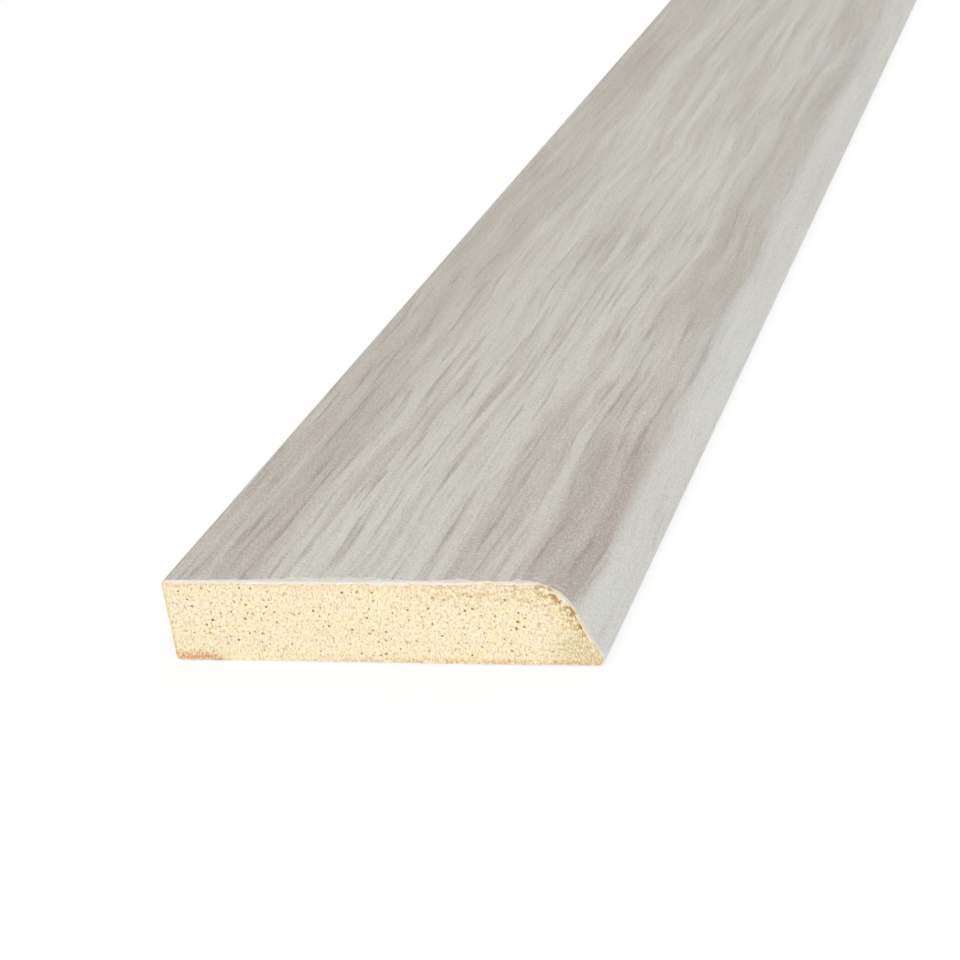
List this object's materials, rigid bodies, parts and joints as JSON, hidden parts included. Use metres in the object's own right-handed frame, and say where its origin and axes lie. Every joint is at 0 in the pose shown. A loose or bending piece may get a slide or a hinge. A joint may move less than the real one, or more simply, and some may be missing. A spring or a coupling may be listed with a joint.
{
  "type": "skirting board",
  "caption": "Straight length of skirting board: a flat wood core with a rounded upper edge, wrapped in a whitewashed oak decor foil, for covering the joint of wall and floor.",
  "frame": {"origin": "middle of the back, at the height of the foil's laps, which the board lies on", "axes": "+X across the board from the square floor edge to the rounded upper edge, +Y along the length, +Z out of the decor face, away from the wall"},
  "size_m": [0.06, 2.4, 0.012],
  "materials": {
    "core_wood": "matte",
    "decor_paper": "satin"
  },
  "bodies": {
    "root": {"wood_core": "core_wood", "decor_foil": "decor_paper"}
  },
  "joints": []
}
